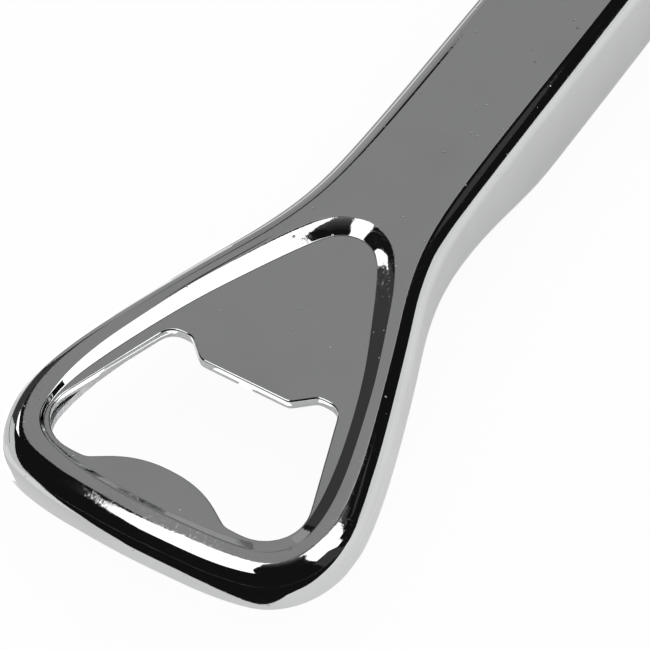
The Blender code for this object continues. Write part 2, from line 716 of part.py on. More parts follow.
def pivot_washer(name, side):
    middle = side * (HUB_WIDTH / 2 + GAP + WASHER_THICKNESS / 2)
    inner, half = PIVOT_RADIUS + RUNNING_GAP, WASHER_THICKNESS / 2
    profile = [(WASHER_RADIUS, half), (WASHER_RADIUS, -half), (inner, -half), (inner, half)]
    place = PIVOT + Vector((0, middle, 0))
    return finish(turned(name, profile, place, BORE_STEPS, across=True, closed=True), STEEL, 0.2)


def worm_rest():
    """Nylon pad snapped into the roof, which the folded worm lies against."""
    foot = PIVOT_HEIGHT + WORM_RADIUS + GAP
    half = PAD_WIDTH / 2
    pad = block("worm_rest", (PAD_X - PAD_LENGTH / 2, -half, foot),
                (PAD_X + PAD_LENGTH / 2, half, FRAME_CEILING - GAP))
    peg = rod("pad_peg_tool", (PAD_X, 0, foot + GAP), (PAD_X, 0, FRAME_TOP), RIVET_RADIUS)
    combine(pad, peg, "UNION")
    return finish(pad, NYLON, 0.6, 0.0)


# Folding worm

def worm_hub():
    """Barrel on the pivot with a socket for the worm's shank."""
    across = Vector((0, HUB_WIDTH / 2, 0))
    hub = rod("worm_hub", PIVOT - across, PIVOT + across, HUB_RADIUS, BORE_STEPS)
    socket_end = PIVOT + Vector((SOCKET_REACH, 0, 0))
    combine(hub, rod("socket_tool", PIVOT, socket_end, SOCKET_RADIUS), "UNION")
    beyond = Vector((OVERRUN, 0, 0))
    shank_floor = Vector((WORM_START - GAP, 0, PIVOT_HEIGHT))
    combine(hub, rod("shank_hole_cutter", shank_floor, socket_end + beyond, WORM_WIRE_RADIUS + GAP))
    combine(hub, rod("hub_bore_cutter", PIVOT - 2 * across, PIVOT + 2 * across,
                     PIVOT_RADIUS + RUNNING_GAP, BORE_STEPS))
    pin_x = shank_pin_x()
    combine(hub, rod("pin_hole_cutter", (pin_x, 0, PIVOT_HEIGHT), (pin_x, 0, HEIGHT),
                     SHANK_PIN_RADIUS + RUNNING_GAP, TURNED_STEPS // 2))
    return finish(hub, CHROME, 0.2)


def shank_pin_x():
    return (WORM_START + PIVOT_X + SOCKET_REACH) / 2 + GAP


def shank_pin():
    """Grub pin that bears on the shank and keeps the worm from turning in its socket."""
    x = shank_pin_x()
    foot = PIVOT_HEIGHT + WORM_WIRE_RADIUS + GAP
    pin = rod("shank_pin", (x, 0, foot), (x, 0, PIVOT_HEIGHT + SOCKET_RADIUS), SHANK_PIN_RADIUS,
              TURNED_STEPS // 2)
    return finish(pin, DARK_STEEL, 0.4)


def worm_points():
    """Straight shank, easing out into the helix, with each point's share of the wire's radius."""
    points = [(Vector((WORM_START, 0, PIVOT_HEIGHT)), 1.0)]
    total = WORM_TURNS * COIL_STEPS
    for step in range(total + 1):
        turn = step / COIL_STEPS
        ease = min(turn / OPENING_TURNS, 1.0)
        reach = WORM_COIL_RADIUS * ease * ease * (3 - 2 * ease)
        angle = 2 * math.pi * turn
        place = Vector((COIL_START + WORM_PITCH * turn, reach * math.sin(angle),
                        PIVOT_HEIGHT + reach * math.cos(angle)))
        taper = min((WORM_TURNS - turn) / TIP_TURNS, 1.0)
        points.append((place, TIP_SHARE + (1 - TIP_SHARE) * taper ** TIP_FULLNESS))
    return points


def least_gap(points):
    """Least way between turns of the wire that aren't neighbours along it, less its thickness."""
    places = np.array([place for place, _ in points])
    apart = np.linalg.norm(places[:, None] - places[None, :], axis=2)
    rows, columns = np.indices(apart.shape)
    return apart[columns - rows >= COIL_STEPS // 2].min() - 2 * WORM_WIRE_RADIUS


def worm():
    points = worm_points()
    curve = bpy.data.curves.new("worm", "CURVE")
    curve.dimensions = "3D"
    curve.bevel_depth = WORM_WIRE_RADIUS
    curve.bevel_resolution = 1
    curve.use_fill_caps = True
    spline = curve.splines.new("POLY")
    spline.points.add(len(points) - 1)
    for target, (place, share) in zip(spline.points, points):
        target.co = (*place, 1)
        target.radius = share
    item = place_in_part(bpy.data.objects.new("worm", curve))
    bpy.context.view_layer.update()
    print("worm: least gap to itself", round(least_gap(points), 5), "m")
    return finish(to_mesh(item), CHROME, 0.15)


def hang_on_pivot(pieces):
    """The moving pieces follow an empty on the pivot's axis."""
    pivot = place_in_part(bpy.data.objects.new("worm_fold", None))
    pivot.location = PIVOT
    for piece in pieces:
        piece.parent = pivot
        piece.location = -PIVOT


def main():
    clear_scene()
    body_shell()
    opener_plate()
    clamp_ring()
    ring_studs()
    base_cover()
    cover_screws()
    neck_post()
    tail_block()
    worm_frame()
    frame_studs()
    back_spring()
    spring_rivet()
    pivot_rivet()
    pivot_washer("pivot_washer_left", 1)
    pivot_washer("pivot_washer_right", -1)
    worm_rest()
    hang_on_pivot([worm_hub(), worm(), shank_pin()])


main()
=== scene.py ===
"""Looks of the corkscrew bottle opener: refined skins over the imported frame, and its studio."""
import json
import math

import bmesh
import bpy
import numpy as np
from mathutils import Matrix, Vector


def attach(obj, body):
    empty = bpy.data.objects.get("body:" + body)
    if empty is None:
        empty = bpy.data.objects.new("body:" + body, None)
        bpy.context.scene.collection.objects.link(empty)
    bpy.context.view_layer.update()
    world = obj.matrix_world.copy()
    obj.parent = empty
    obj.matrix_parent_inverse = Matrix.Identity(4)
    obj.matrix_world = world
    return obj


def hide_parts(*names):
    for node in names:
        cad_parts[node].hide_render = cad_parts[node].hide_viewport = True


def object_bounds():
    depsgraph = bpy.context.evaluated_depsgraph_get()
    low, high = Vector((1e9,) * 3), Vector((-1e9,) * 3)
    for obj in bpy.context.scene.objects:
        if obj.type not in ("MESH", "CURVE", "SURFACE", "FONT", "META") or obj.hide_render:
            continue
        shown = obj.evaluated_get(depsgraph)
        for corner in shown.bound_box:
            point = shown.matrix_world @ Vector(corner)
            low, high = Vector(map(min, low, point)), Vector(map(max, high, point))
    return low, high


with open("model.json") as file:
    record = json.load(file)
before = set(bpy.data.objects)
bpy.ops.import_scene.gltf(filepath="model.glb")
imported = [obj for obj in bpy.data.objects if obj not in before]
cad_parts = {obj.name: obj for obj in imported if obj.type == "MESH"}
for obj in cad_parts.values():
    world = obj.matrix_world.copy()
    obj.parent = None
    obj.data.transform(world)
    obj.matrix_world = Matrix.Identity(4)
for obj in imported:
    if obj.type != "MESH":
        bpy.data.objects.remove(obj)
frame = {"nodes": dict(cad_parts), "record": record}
CAD_BOX = [list(corner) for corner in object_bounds()]
MM = 0.001

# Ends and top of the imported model, and the middle of the head, in millimetres
FAR = round(CAD_BOX[0][0] / MM, 3)
TAIL = round(CAD_BOX[1][0] / MM, 3)
TOP = round(CAD_BOX[1][2] / MM, 3)
HEAD_CENTRE = -37.7

# The shell: its wall, the depth of its recess, the faint crown beside its edges, the round at the
# wall's foot, and how far the foot hangs below the solid's
WALL = 1.4
ROOF = TOP - WALL
RECESS_DEPTH = 0.6
FACE = TOP - RECESS_DEPTH
CROWN_WIDTH = 0.8
CROWN_TILT = 0.35
LIP = 0.2
BELLY_DROP = 0.15
# How far the plate's seat lies outside the panel's outline, the gap over the plate's face that
# shows as a fine line, and the play round the plate's edge
SEAT_INSET = 1.2
SEAM_GAP = 0.05
SEAT_PLAY = 0.1
# Strip beside a rounded edge that keeps the flat next to it flat
SUPPORT = 0.08
# Steps of a small round edge
QUARTER = np.radians((0, 30, 60, 90))
# Angle between faces, in degrees, above which an edge of sheet or of wire stays sharp
SHEET_SHARP = 50
WIRE_SHARP = 60


# Outlines, in millimetres in the row frame

SPLINE_FINENESS = 24
# Reach and spread, in points, of the smoothing along an outline
SMOOTH_REACH = 14
SMOOTH_SPREAD = 5.0


def even_loop(points, count):
    """The same closed line, with points at even steps."""
    closed = np.vstack([points, points[:1]])
    way = np.concatenate([[0], np.cumsum(np.linalg.norm(np.diff(closed, axis=0), axis=1))])
    steps = np.linspace(0, way[-1], count, endpoint=False)
    return np.stack([np.interp(steps, way, closed[:, k]) for k in range(2)], axis=1)


def spline_loop(points, count):
    """A smooth closed curve through the points, with points at even steps."""
    points = np.array(points, float)
    total = len(points)
    chord = np.linalg.norm(np.roll(points, -1, 0) - points, axis=1)
    before = np.roll(chord, 1)
    system = np.zeros((total, total))
    right = np.zeros((total, 2))
    for i in range(total):
        h0, h1 = before[i], chord[i]
        system[i, i - 1] += h0
        system[i, i] += 2 * (h0 + h1)
        system[i, (i + 1) % total] += h1
        rise = (points[(i + 1) % total] - points[i]) / h1 - (points[i] - points[i - 1]) / h0
        right[i] = 6 * rise
    bend = np.linalg.solve(system, right)
    dense = []
    for i in range(total):
        j, h = (i + 1) % total, chord[i]
        for t in np.arange(0, 1, 1 / SPLINE_FINENESS):
            a, b = 1 - t, t
            dense.append(a * points[i] + b * points[j]
                         + ((a ** 3 - a) * bend[i] + (b ** 3 - b) * bend[j]) * h * h / 6)
    return even_loop(np.array(dense), count)


def normals_of(loop):
    """Unit normals on the left of a loop's direction, which is outwards for a clockwise one."""
    ahead = np.roll(loop, -1, 0) - np.roll(loop, 1, 0)
    ahead /= np.linalg.norm(ahead, axis=1)[:, None]
    return np.stack([-ahead[:, 1], ahead[:, 0]], axis=1)


def moved(loop, distance):
    """The loop moved outwards, by one distance or by one for each point."""
    return loop + normals_of(loop) * np.reshape(distance, (-1, 1))


def both_sides(half):
    """Points from the far end round the +Y side to the tail, and back along -Y, clockwise."""
    half = [tuple(p) for p in half]
    back = [(x, -y) for x, y in half[::-1] if abs(y) > 1e-6]
    return half + back


def head(points):
    """Points given from the head's middle, brought to their place."""
    return [(u + HEAD_CENTRE, v) for u, v in points]


def smoothed(line, reach, spread):
    """A bell-shaped running mean of a line that comes padded by the reach at both ends."""
    weights = np.exp(-0.5 * (np.arange(-reach, reach + 1) / spread) ** 2)
    return np.convolve(line, weights / weights.sum(), mode="valid")


def varied(loop, knots):
    """Values along a loop that run smoothly between those given beside some places on it."""
    spots = []
    for u, v, value in knots:
        away = np.hypot(*(loop - (u + HEAD_CENTRE, v)).T)
        spots.append((int(np.argmin(away)), value))
    spots.sort()
    count = len(loop)
    line = np.interp(np.arange(count), [i for i, _ in spots], [d for _, d in spots], period=count)
    padded = np.concatenate([line[-SMOOTH_REACH:], line, line[:SMOOTH_REACH]])
    return smoothed(padded, SMOOTH_REACH, SMOOTH_SPREAD)


BODY_HALF = head([
    (-38.3, 0), (-38.24, 3.3), (-38.1, 6.8), (-37.9, 10.0), (-37.3, 14.0), (-36.2, 17.5),
    (-34.0, 20.2), (-30.7, 22.05), (-26.1, 22.9), (-20.0, 22.2), (-12.0, 19.9), (-4.0, 17.1),
    (4.0, 14.15), (8.0, 12.62), (12.0, 11.3), (16.0, 10.3), (20.0, 9.66), (25.0, 9.26),
    (32.0, 9.06), (40.0, 9.0), (52.0, 9.0), (66.0, 9.0), (80.0, 9.0), (92.0, 9.0), (100.0, 9.0),
    (104.5, 9.0)])
TAIL_CORNER = 7
HANDLE_HALF = 9
TAIL_HALF = [(TAIL - TAIL_CORNER * (1 - math.cos(a)), HANDLE_HALF - TAIL_CORNER * (1 - math.sin(a)))
             for a in np.linspace(math.pi / 2, 0, 9)] + [(TAIL, 0.0)]
RECESS_HALF = head([
    (-34.2, 0), (-34.1, 3.6), (-33.9, 7.0), (-33.6, 10.3), (-33.2, 13.0), (-31.9, 16.2),
    (-29.6, 18.0), (-26.3, 18.5), (-20.0, 17.7), (-12.0, 15.5), (-4.0, 13.0), (4.0, 9.8),
    (8.0, 8.15), (11.3, 6.6), (14.2, 4.6), (15.8, 2.3), (16.3, 0)])
PANEL_HALF = head([
    (-33.3, 0), (-33.2, 3.4), (-33.0, 6.6), (-32.7, 9.8), (-32.2, 12.4), (-30.9, 15.5),
    (-28.9, 17.0), (-26.0, 17.4), (-20.0, 16.6), (-12.0, 14.4), (-4.0, 11.6), (3.0, 8.5),
    (6.5, 6.85), (9.4, 5.35), (12.1, 3.6), (13.5, 1.8), (13.9, 0)])

BODY_STEPS = 640
HEAD_STEPS = 320
MOUTH_STEPS = 420
BODY_LINE = spline_loop(both_sides(BODY_HALF + TAIL_HALF), BODY_STEPS)
RECESS_LINE = spline_loop(both_sides(RECESS_HALF), HEAD_STEPS)
PANEL_LINE = spline_loop(both_sides(PANEL_HALF), HEAD_STEPS)

# The head isn't quite symmetric. Each table gives places from the head's middle, and beside them
# how far the outline lies outside its symmetric line
RECESS_SHIFT = [
    (-34.3, 8, 0.1), (-34.5, 0, 0.1), (-34.3, -8, 0.2), (-32.2, -15.4, 0.3), (-27.9, -18.6, 0.3),
    (-21.9, -18.5, 0.36), (-13.2, -16.2, 0.36), (-1.8, -12.3, 0.1), (8, -8.4, 0.45),
    (14, -4.9, 0.7), (15.6, 3.4, 0.65), (8.1, 8.6, 0.7), (-5.5, 13.8, 0.45), (-15.4, 17.1, 0.5),
    (-22, 18.2, 0.0), (-27.1, 18.5, -0.65), (-31.3, 16, -0.7), (-33.9, 10.3, -0.15)]
PANEL_SHIFT = [
    (-33, 8, -0.15), (-33.4, 0, -0.15), (-33, -8, -0.15), (-31.5, -15, -0.15), (-27.2, -17.3, -0.2),
    (-21.2, -16.8, -0.15), (-12.9, -14.6, -0.08), (-1.4, -10.3, -0.2), (7, -6.5, -0.3),
    (11.5, -3.7, -0.25), (12.6, 2.5, -0.4), (6.8, 6.1, -0.45), (-6.4, 12, -0.35),
    (-16.3, 15.4, -0.15), (-22, 17, 0.05), (-26.7, 17.5, 0.1), (-30.4, 15.9, -0.1),
    (-33, 10.4, -0.1)]
BODY_SHIFT = [
    (-38.2, 0, 0), (-36.2, 17.5, 0), (-34, 20.2, -0.2), (-30.7, 22, -0.6), (-26.1, 22.9, -0.7),
    (-20, 22.2, -0.4), (-12, 19.9, -0.15), (-4, 17.1, 0), (104, 9, 0), (104, -9, 0),
    (-26, -22.9, 0), (-38, -8, 0)]
BODY = moved(BODY_LINE, varied(BODY_LINE, BODY_SHIFT))
RECESS = moved(RECESS_LINE, varied(RECESS_LINE, RECESS_SHIFT))
PANEL_EDGE = moved(PANEL_LINE, varied(PANEL_LINE, PANEL_SHIFT))

# Radius of the round along the outer edge, beside places on it
EDGE_ROUND = [
    (-38.2, 0, 2.6), (-38, 8, 2.7), (-36.2, 17.5, 2.85), (-30.7, 22, 2.4), (-26.1, 22.9, 2.2),
    (-20, 22.2, 2.3), (-12, 19.9, 2.45), (4, 14.15, 2.6), (25, 9.26, 2.48), (104, 9, 2.48),
    (104, -9, 2.48), (25, -9.26, 2.48), (4, -14.15, 2.6), (-26, -22.9, 2.6), (-38, -8, 2.6)]
# How far the wall's foot is set in
TUCK = [
    (-38.3, 0, 0.34), (-37.9, 10, 0.34), (-37.9, -10, 0.34), (-34, 20.2, 0.25), (-34, -20.2, 0.25),
    (-30.7, 22, 0.0), (-30.7, -22, 0.0), (-26, 22.9, -0.1), (-26, -22.9, -0.1), (8, 12.6, -0.1),
    (8, -12.6, -0.1), (30, 9.1, 0.03), (30, -9.1, 0.03), (60, 9, -0.08), (60, -9, -0.08)]
# Radius of the roll at the recess's rim, as a share of the fullest that fits: largest at the apex
ROLL_SHARE = [
    (-34, 0, 0.5), (-30, -16.5, 0.35), (-22, -18.4, 0.2), (-2, -12.3, 0.16), (8, -8.4, 0.5),
    (14, -4.9, 0.95), (16.5, 0, 0.95), (14, 4.9, 0.95), (8, 8.6, 0.8), (-5.5, 13.8, 0.55),
    (-22, 18.2, 0.4), (-31, 16, 0.4)]
# Radius of the turn at the flank's foot
FOOT_TURN = [
    (-34, 0, 0.15), (-22, -18.4, 0.15), (-2, -12.3, 0.2), (8, -8.4, 0.5), (14, -4.9, 0.7),
    (16.5, 0, 0.7), (14, 4.9, 0.7), (8, 8.6, 0.7), (-5.5, 13.8, 0.4), (-22, 18.2, 0.2),
    (-31, 16, 0.15)]

# The underside's height at the head, the length over which it comes down to the resting face, and
# its fall at shares of that length
HEAD_GAIN = 8.1
BELLY_RUN = 84.5
BELLY = [(0.240, 0.01), (0.311, 0.09), (0.394, 0.21), (0.512, 0.26), (0.619, 0.31), (0.714, 0.40),
         (0.785, 0.51), (0.856, 0.67), (0.915, 0.83), (0.962, 0.96), (1.0, 1.0)]
# The step of its line, the reach and spread of the smoothing in steps, and the line's run past the
# ends
BELLY_STEP = 0.5
BELLY_REACH = 8
BELLY_SPREAD = 3.5
BELLY_MARGIN = 4


def belly(x):
    """Height of the underside over the resting face, smoothed along the handle."""
    start, end = FAR - BELLY_MARGIN, TAIL + BELLY_MARGIN
    along = np.array([start] + [FAR + share * BELLY_RUN for share, _ in BELLY] + [end])
    height = np.array([HEAD_GAIN] + [HEAD_GAIN * (1 - fall) for _, fall in BELLY] + [0.0])
    grid = np.arange(start, end, BELLY_STEP)
    line = np.interp(grid, along, height)
    ends = np.full(BELLY_REACH, line[0]), np.full(BELLY_REACH, line[-1])
    line = smoothed(np.concatenate([ends[0], line, ends[1]]), BELLY_REACH, BELLY_SPREAD)
    return np.interp(x, grid, line)


# Mesh helpers

def new_mesh(name, verts, faces):
    """A mesh object from places in millimetres."""
    mesh = bpy.data.meshes.new(name)
    mesh.from_pydata([tuple(np.array(v) * MM) for v in verts], [], faces)
    mesh.update()
    item = bpy.data.objects.new(name, mesh)
    bpy.context.scene.collection.objects.link(item)
    return item


class Builder:
    """Collects rings of vertices and the faces between them."""

    def __init__(self):
        self.verts = []
        self.faces = []

    def ring(self, loop, heights):
        heights = np.broadcast_to(heights, len(loop))
        first = len(self.verts)
        self.verts += [(x, y, z) for (x, y), z in zip(loop, heights)]
        return list(range(first, first + len(loop)))

    def bridge(self, a, b):
        """Quads between two rings of the same length."""
        for i in range(len(a)):
            j = (i + 1) % len(a)
            self.faces.append((a[i], a[j], b[j], b[i]))

    def join(self, rings):
        """Quads between each ring and the next."""
        for a, b in zip(rings, rings[1:]):
            self.bridge(a, b)

    def fill(self, outer, inner):
        """Triangles in a plane between an outer ring and rings inside it."""
        solid = bmesh.new()
        table = {}
        edges = []
        for ring in [outer] + inner:
            made = []
            for index in ring:
                vert = solid.verts.new(self.verts[index])
                table[vert] = index
                made.append(vert)
            edges += [solid.edges.new((made[i - 1], made[i])) for i in range(len(made))]
        filled = bmesh.ops.triangle_fill(solid, edges=edges, use_beauty=True, normal=(0, 0, 1))
        for face in filled["geom"]:
            if isinstance(face, bmesh.types.BMFace):
                self.faces.append(tuple(table[v] for v in face.verts))
        solid.free()


def close_skin(name, made, angle):
    """A piece whose faces all point outwards, shaded smoothly up to that angle between faces."""
    item = new_mesh(name, made.verts, made.faces)
    solid = bmesh.new()
    solid.from_mesh(item.data)
    bmesh.ops.recalc_face_normals(solid, faces=solid.faces)
    solid.to_mesh(item.data)
    solid.free()
    item.data.shade_smooth()
    item.data.set_sharp_from_angle(angle=math.radians(angle))
    return item


# The shell

# Rings of the roll, of the turn, of the crown and of the outer edge's round
ROLL_RINGS = 15
TURN_RINGS = 8
CROWN_RINGS = 4
EDGE_RINGS = 28
# Share of the fullest flank that its roll and turn may take together
FLANK_LIMIT = 0.98
# Slope, in degrees, where the outer edge's round meets the wall
ROUND_END = 86
# Rings of the wall, and how late its foot is set in
WALL_RINGS = 9
TUCK_POWER = 1.6
# The foot's drop starts this far from the far end and grows over this length. It is nothing where
# the foot is less than this above the resting face
DROP_START = 4
DROP_LENGTH = 12
DROP_FLOOR = 0.5


def flank_profile():
    """Ways in and drops of the recess's flank: a roll at the rim, a straight slope, a tight turn."""
    width = np.linalg.norm(PANEL_EDGE - RECESS, axis=1)
    depth = TOP - FACE - SEAM_GAP
    fullest = (width ** 2 + depth ** 2) / (2 * depth)
    turn = varied(RECESS_LINE, FOOT_TURN)
    roll = varied(RECESS_LINE, ROLL_SHARE) * fullest
    both = np.minimum(roll + turn, FLANK_LIMIT * fullest)
    roll = both - turn
    lean = np.arctan2(both - depth, width)
    steep = np.arcsin(both / np.hypot(width, both - depth)) - lean
    path = [(roll * np.sin(a) / width, roll * (1 - np.cos(a)))
            for a in (steep * share for share in np.linspace(0, 1, ROLL_RINGS))]
    path += [(1 - turn * np.sin(a) / width, depth - turn * (1 - np.cos(a)))
             for a in (steep * share for share in np.linspace(1, 0, TURN_RINGS))]
    return path


def edge_profile(inset):
    """Insets and drops from the flat to the wall: a gentle crown first, and then the round."""
    tilt = math.radians(CROWN_TILT)
    crown_drop = CROWN_WIDTH * math.tan(tilt) / 2
    path = [(inset + CROWN_WIDTH * (1 - share), crown_drop * share ** 2)
            for share in np.linspace(0, 1, CROWN_RINGS, endpoint=False)]
    radius = inset / (1 - math.sin(tilt))
    path += [(inset - radius * (math.sin(a) - math.sin(tilt)),
              crown_drop + radius * (math.cos(tilt) - math.cos(a)))
             for a in np.radians(np.linspace(CROWN_TILT, ROUND_END, EDGE_RINGS))]
    return path


def inside_box(loop):
    """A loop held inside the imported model's outer box."""
    low, high = np.array(CAD_BOX)[:, :2] / MM
    return np.clip(loop, low, high)


def shell_outside(made):
    """Rings from the flat top over the edge, down the wall, round its foot, and up inside."""
    foot = belly(BODY[:, 0])
    raised = np.clip(foot - DROP_FLOOR, 0, 1)
    along = np.clip((BODY[:, 0] - FAR - DROP_START) / DROP_LENGTH, 0, 1)
    foot = foot - BELLY_DROP * raised * along
    profile = edge_profile(varied(BODY, EDGE_ROUND))
    rings = [made.ring(moved(BODY, -profile[0][0] - SUPPORT), TOP)]
    rings += [made.ring(inside_box(moved(BODY, -inset)), TOP - drop) for inset, drop in profile]
    inset, drop = profile[-1]
    last = TOP - drop
    tuck = varied(BODY, TUCK)
    for share in np.linspace(0, 1, WALL_RINGS + 1)[1:]:
        edge = inside_box(moved(BODY, -(inset * (1 - share) + tuck * share ** TUCK_POWER)))
        rings.append(made.ring(edge, last - share * (last - foot - LIP)))
    for a in QUARTER[1:]:
        edge = inside_box(moved(BODY, -tuck - LIP * (1 - math.cos(a))))
        rings.append(made.ring(edge, foot + LIP * (1 - math.sin(a))))
    for a in QUARTER[2::-1]:
        inside = WALL - LIP * (1 - math.cos(a))
        rings.append(made.ring(moved(BODY, -inside), foot + LIP * (1 - math.sin(a))))
    for share in (0.5, 1.0):
        rings.append(made.ring(moved(BODY, -WALL), foot + LIP + share * (ROOF - foot - LIP)))
    return rings


def shell_recess(made):
    """Rings from the flat top down the recess's flank, back under its foot, and down the seat."""
    rings = [made.ring(moved(RECESS, SUPPORT), TOP)]
    for way, drop in flank_profile():
        way = np.reshape(np.broadcast_to(way, len(RECESS)), (-1, 1))
        rings.append(made.ring(RECESS + (PANEL_EDGE - RECESS) * way, TOP - drop))
    seat = moved(PANEL_EDGE, SEAT_INSET)
    rings.append(made.ring(seat, FACE + SEAM_GAP))
    rings.append(made.ring(seat, ROOF))
    return rings


def shell_skin():
    """The pressed shell: flat top, rounded edge, wall, and the hollow inside."""
    made = Builder()
    outside = shell_outside(made)
    made.join(outside[::-1])
    recess = shell_recess(made)
    made.join(recess)
    made.fill(outside[0], [recess[0]])
    made.fill(outside[-1], [recess[-1]])
    return close_skin("shell_skin", made, SHEET_SHARP)


# The plate

FILLET_STEPS = 10


def fillet_path(corners):
    """A polyline whose inner corners are rounded, each with a radius of its own."""
    path = [np.array(corners[0][:2], float)]
    for before, here, after in zip(corners, corners[1:], corners[2:]):
        p, q, r = (np.array(c[:2], float) for c in (before, here, after))
        radius = here[2]
        back, ahead = (p - q) / np.linalg.norm(p - q), (r - q) / np.linalg.norm(r - q)
        half = math.acos(np.clip(back @ ahead, -1, 1)) / 2
        middle = q + (back + ahead) / np.linalg.norm(back + ahead) * radius / math.sin(half)
        start = q + back * radius / math.tan(half) - middle
        end = q + ahead * radius / math.tan(half) - middle
        first = math.atan2(start[1], start[0])
        turn = (math.atan2(end[1], end[0]) - first + math.pi) % (2 * math.pi) - math.pi
        path += [middle + radius * np.array((math.cos(a), math.sin(a)))
                 for a in np.linspace(first, first + turn, FILLET_STEPS)]
    return path + [np.array(corners[-1][:2], float)]


# Half of the mouth, from the lip round the side notch to the tongue: place from the head's middle,
# and the radius of the corner there
MOUTH_HALF = [
    (-12.5, 0, 0), (-12.5, 6.25, 1.2), (-10.1, 8.9, 1.0), (-10.1, 11.8, 2.2), (-31.5, 19.1, 5.2),
    (-31.5, 9.55, 1.85), (-28.05, 4.2, 12.5), (-28.05, 0, 0)]
# Passes that soften the mouth's outline
MOUTH_PASSES = 2
# The plate's thickness, and its punched edge: its rounds, the depth of the smooth shear cut, how
# far the rougher break below it leans back, and the shares of the break's height with a ring
PLATE = 1.6
CUT_ROUND = 0.16
SHEAR_DEPTH = 0.85
BREAK_LEAN = 0.14
BREAK_SHARES = (0.0, 0.08, 0.5, 1.0)
CUT_SUPPORT = 0.06


def mouth_loop():
    """The mouth's outline, with corners that run softly into the straight stretches."""
    half = fillet_path([(u + HEAD_CENTRE, v, radius) for u, v, radius in MOUTH_HALF])
    loop = even_loop(np.array(half + [p * (1, -1) for p in half[-2:0:-1]]), MOUTH_STEPS)
    for _ in range(MOUTH_PASSES):
        loop = (np.roll(loop, 1, 0) + 2 * loop + np.roll(loop, -1, 0)) / 4
    return loop[::-1]


def plate_skin():
    """The hardened plate: its punched mouth has a smooth shear cut above and a leaning break below."""
    made = Builder()
    mouth = mouth_loop()
    foot = FACE - PLATE
    wall = [made.ring(moved(mouth, CUT_ROUND + CUT_SUPPORT), FACE)]
    for a in QUARTER[::-1]:
        inset = CUT_ROUND * (1 - math.cos(a))
        wall.append(made.ring(moved(mouth, inset), FACE - CUT_ROUND * (1 - math.sin(a))))
    for share in BREAK_SHARES:
        height = FACE - SHEAR_DEPTH - share * (PLATE - SHEAR_DEPTH - CUT_ROUND)
        wall.append(made.ring(moved(mouth, share * BREAK_LEAN), height))
    for a in QUARTER[1:]:
        inset = BREAK_LEAN + CUT_ROUND * (1 - math.cos(a))
        wall.append(made.ring(moved(mouth, inset), foot + CUT_ROUND * (1 - math.sin(a))))
    wall.append(made.ring(moved(mouth, BREAK_LEAN + CUT_ROUND + CUT_SUPPORT), foot))
    made.join(wall)
    outer = moved(PANEL_EDGE, SEAT_INSET - SEAT_PLAY)
    rim = [made.ring(outer, FACE), made.ring(outer, foot)]
    made.join(rim[::-1])
    made.fill(rim[0], [wall[0]])
    made.fill(rim[1], [wall[-1]])
    return close_skin("plate_skin", made, SHEET_SHARP)


# The worm

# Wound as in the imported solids: where its shank and its helix start, the height of its axis, the
# helix's pitch, turns and radius, and the wire's radius
SHANK_START = 16.8
HELIX_START = 21.8
AXIS_HEIGHT = 5.0
PITCH = 7.8
TURNS = 5
COIL_RADIUS = 2.8
WIRE_RADIUS = 1.3
# Turns over which the coil widens, and over which the point tapers to its share of the radius
WIDENING = 0.6
TAPER = 0.75
TAPER_POWER = 0.7
POINT_SHARE = 0.04
COIL_STEPS = 48
WIRE_SIDES = 20


def worm_path():
    """Places along the wire, with its share of the full radius at each."""
    path = [(SHANK_START, 0.0, AXIS_HEIGHT)]
    shares = [1.0]
    for step in range(TURNS * COIL_STEPS + 1):
        turn = step / COIL_STEPS
        ease = min(turn / WIDENING, 1.0)
        reach = COIL_RADIUS * ease * ease * (3 - 2 * ease)
        angle = 2 * math.pi * turn
        path.append((HELIX_START + PITCH * turn, reach * math.sin(angle),
                     AXIS_HEIGHT + reach * math.cos(angle)))
        taper = min((TURNS - turn) / TAPER, 1.0)
        shares.append(POINT_SHARE + (1 - POINT_SHARE) * taper ** TAPER_POWER)
    return np.array(path), shares


def worm_skin():
    """One unbroken round wire: shank, easing out into the helix, and ground down to its point."""
    path, shares = worm_path()
    ahead = np.gradient(path, axis=0)
    ahead /= np.linalg.norm(ahead, axis=1)[:, None]
    side = np.array((0.0, 1.0, 0.0))
    round_angles = np.linspace(0, 2 * math.pi, WIRE_SIDES, endpoint=False)
    made = Builder()
    rings = []
    for point, way, share in zip(path, ahead, shares):
        side = side - way * (side @ way)
        side /= np.linalg.norm(side)
        up = np.cross(way, side)
        first = len(made.verts)
        made.verts += [tuple(point + WIRE_RADIUS * share * (math.cos(a) * side + math.sin(a) * up))
                       for a in round_angles]
        rings.append(list(range(first, first + WIRE_SIDES)))
    made.join(rings[::-1])
    made.faces += [tuple(rings[0]), tuple(reversed(rings[-1]))]
    return close_skin("worm_skin", made, WIRE_SHARP)


# Materials

# Half width of a scratch in its noise, and the depths in metres of pits, and of grain in bare metal
SCRATCH_WIDTH = 0.02
PIT_DEPTH = 1.5e-5
GRAIN_DEPTH = 6e-6


